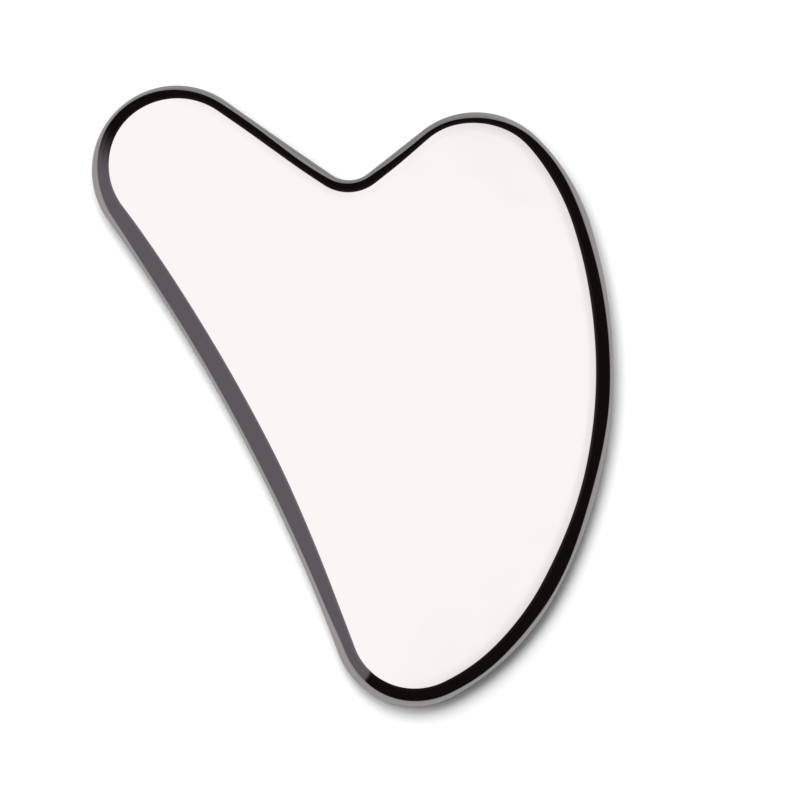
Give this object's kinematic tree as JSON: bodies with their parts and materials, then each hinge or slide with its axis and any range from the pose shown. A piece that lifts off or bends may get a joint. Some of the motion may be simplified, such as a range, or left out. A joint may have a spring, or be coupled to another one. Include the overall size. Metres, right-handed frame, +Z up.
{
  "type": "gua sha scraper",
  "caption": "Flat heart-shaped massage scraper in polished stainless steel, with a long and a short lobe, a notch between them, a rounded tip, a hollow back edge and a smooth rounded rim.",
  "frame": {"origin": "middle of the footprint, on the lower flat face", "axes": "+Z is up, out of the upper flat face; +Y runs along the length, from the rounded tip to the two lobes; +X points from the hollow back edge to the long round side"},
  "size_m": [0.053, 0.084, 0.004],
  "materials": {
    "polished_steel": "mirror-polished stainless steel, smooth all over, with very fine polishing lines"
  },
  "bodies": {
    "root": {"scraper_plate": "polished_steel"}
  },
  "joints": []
}
